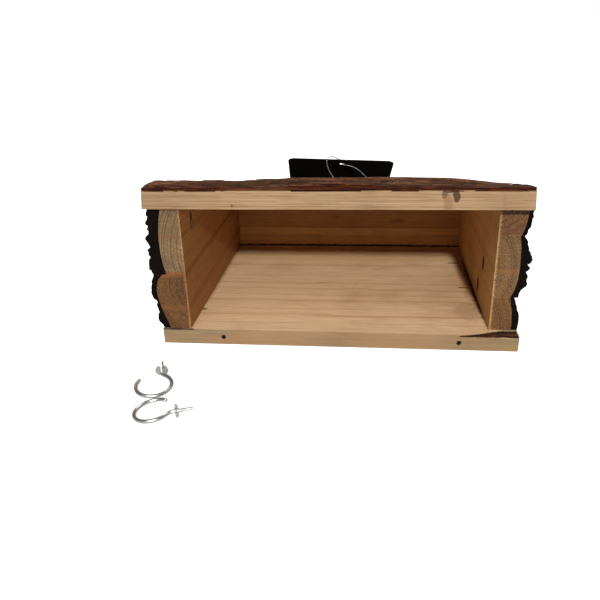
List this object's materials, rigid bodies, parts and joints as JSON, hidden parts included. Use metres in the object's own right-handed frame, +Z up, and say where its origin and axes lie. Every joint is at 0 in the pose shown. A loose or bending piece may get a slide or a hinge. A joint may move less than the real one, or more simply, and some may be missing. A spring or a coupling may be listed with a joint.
{
  "type": "log-slab ground bird feeder",
  "caption": "Open-fronted garden bird feeder of half-log slabs with bark, lean-to slab roof, pine floor board, swing tag and loose screw hooks.",
  "frame": {"origin": "centre of the floor board's underside", "axes": "+Z up, +Y from the open front to the back wall, +X to the right seen from the front"},
  "size_m": [0.2676, 0.3192, 0.1211],
  "materials": {
    "pine": "sawn, unfinished",
    "log_wood": "sawn, unfinished",
    "roof_pine": "sawn, unfinished",
    "wall_bark": "rough bark",
    "roof_bark": "rough bark",
    "nail_steel": "bright steel",
    "staple_wire": "galvanised wire",
    "tag_card": "matt printed card",
    "tag_nylon": "clear nylon",
    "hook_zinc": "bright zinc plate"
  },
  "bodies": {
    "feeder": {"floor_board": "pine", "floor_wane_bark": "wall_bark", "left_lower_slab": "log_wood", "left_lower_bark": "wall_bark", "left_upper_slab": "log_wood", "left_upper_bark": "wall_bark", "right_lower_slab": "log_wood", "right_lower_bark": "wall_bark", "right_middle_slab": "log_wood", "right_middle_bark": "wall_bark", "right_upper_slab": "log_wood", "right_upper_bark": "wall_bark", "back_lower_slab": "log_wood", "back_lower_bark": "wall_bark", "back_upper_slab": "log_wood", "back_upper_bark": "wall_bark", "roof_front_slab": "roof_pine", "roof_front_bark": "roof_bark", "roof_middle_slab": "roof_pine", "roof_middle_bark": "roof_bark", "roof_rear_slab": "roof_pine", "roof_rear_bark": "roof_bark", "floor_nails": "nail_steel", "wall_pins": "nail_steel", "roof_nails": "nail_steel", "back_nails": "nail_steel", "wall_staples": "staple_wire", "tag_staple": "staple_wire"},
    "tag": {"tag_card": "tag_card", "tag_loop": "tag_nylon"},
    "hook_a": {"hook_a_wire": "hook_zinc", "hook_a_collar": "hook_zinc"},
    "hook_b": {"hook_b_wire": "hook_zinc", "hook_b_collar": "hook_zinc"}
  },
  "joints": [
    {"name": "tag_swing", "type": "hinge", "parent": "feeder", "child": "tag", "pos_m": [-0.0007, -0.005, 0.1018], "axis": [1, 0, 0], "range_deg": [0, 60]},
    {"name": "hook_a_lift", "type": "slide", "parent": "feeder", "child": "hook_a", "axis": [0, 0, 1], "range_m": [0, 0.18]},
    {"name": "hook_b_lift", "type": "slide", "parent": "feeder", "child": "hook_b", "axis": [0, 0, 1], "range_m": [0, 0.18]}
  ]
}
